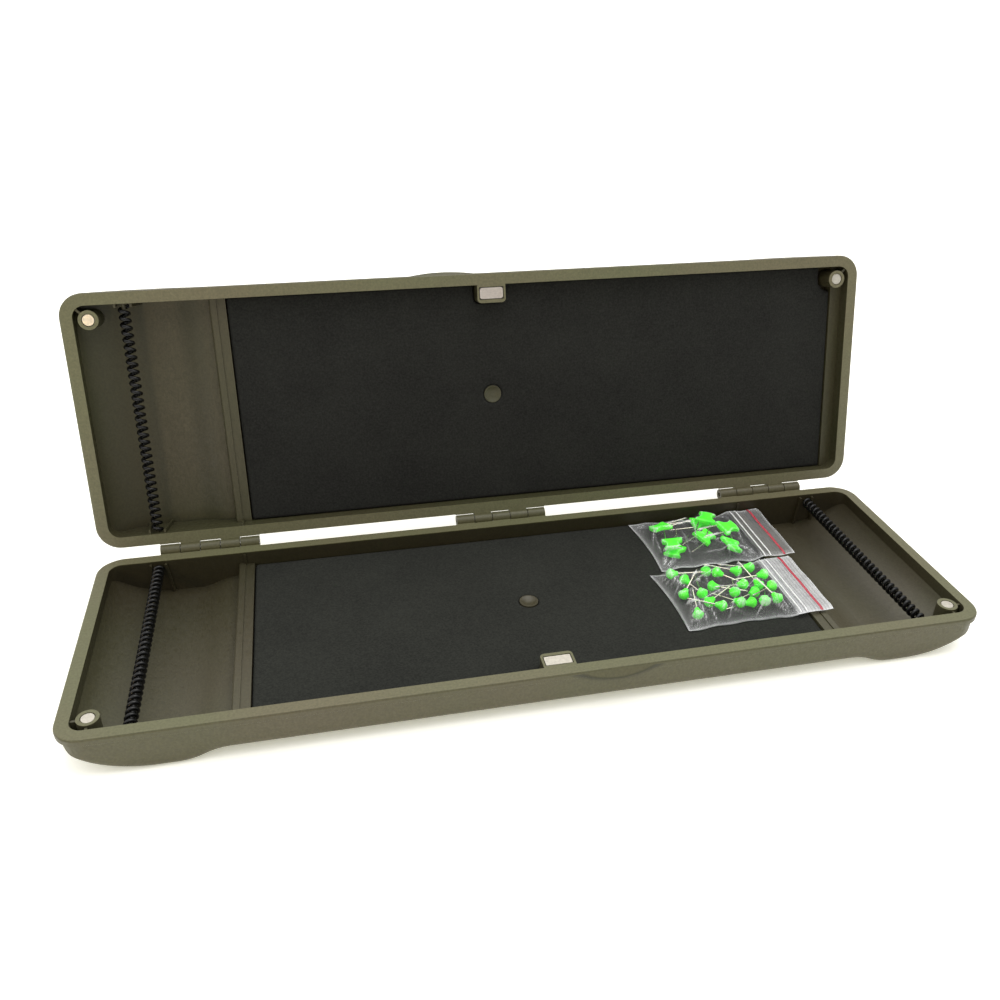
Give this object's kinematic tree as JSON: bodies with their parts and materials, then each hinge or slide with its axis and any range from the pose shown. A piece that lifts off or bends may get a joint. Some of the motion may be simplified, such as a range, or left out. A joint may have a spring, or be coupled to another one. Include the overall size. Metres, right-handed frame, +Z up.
{
  "type": "rig storage case",
  "caption": "Slim hinged storage case with foam boards in base and lid, coil racks in deep end compartments, magnetic closure and two press-seal bags of green-headed rig pins.",
  "frame": {"origin": "on the ground plane, under the middle of the base", "axes": "+X along the case to its right end, +Y from the front edge to the hinges, +Z up"},
  "size_m": [0.36, 0.1591, 0.1274],
  "materials": {
    "case_plastic": "fine matt moulded texture, dark olive",
    "foam": "closed-cell foam, black, matt",
    "adhesive": "thin adhesive sheet",
    "coil_plastic": "black, semi-gloss",
    "magnet": "nickel plated",
    "latch_steel": "nickel plated, dull",
    "pin_steel": "polished steel",
    "bag_film": "clear polyethylene film",
    "zip_plastic": "milky polyethylene",
    "red_ink": "translucent red print",
    "pin_head_plastic": "bright green moulded plastic"
  },
  "bodies": {
    "base": {"base_shell": "case_plastic", "base_foam_adhesive": "adhesive", "base_foam_board": "foam", "base_left_coil": "coil_plastic", "base_right_coil": "coil_plastic", "base_left_magnet": "magnet", "base_right_magnet": "magnet", "base_latch_magnet": "magnet", "hinge_pin_left": "pin_steel", "hinge_pin_middle": "pin_steel", "hinge_pin_right": "pin_steel"},
    "lid": {"lid_shell": "case_plastic", "lid_foam_adhesive": "adhesive", "lid_foam_board": "foam", "lid_coil": "coil_plastic", "lid_left_magnet": "magnet", "lid_right_magnet": "magnet", "lid_latch_plate": "latch_steel"},
    "rear_bag": {"rear_bag_film": "bag_film", "rear_bag_zip_track": "zip_plastic", "rear_bag_zip_rib": "zip_plastic", "rear_bag_lip_stripe": "red_ink", "double_pin_heads": "pin_head_plastic", "double_pin_needles": "pin_steel"},
    "front_bag": {"front_bag_film": "bag_film", "front_bag_zip_track": "zip_plastic", "front_bag_zip_rib": "zip_plastic", "front_bag_lip_stripe": "red_ink", "single_pin_heads": "pin_head_plastic", "single_pin_needles": "pin_steel"}
  },
  "joints": [
    {"name": "lid_hinge", "type": "hinge", "parent": "base", "child": "lid", "pos_m": [0, 0.0579, 0.01815], "axis": [1, 0, 0], "range_deg": [-75.5, 104.5]},
    {"name": "rear_bag_slide", "type": "slide", "parent": "base", "child": "rear_bag", "axis": [-1, 0, 0], "range_m": [0, 0.1]},
    {"name": "front_bag_slide", "type": "slide", "parent": "base", "child": "front_bag", "axis": [-1, 0, 0], "range_m": [0, 0.1]}
  ]
}
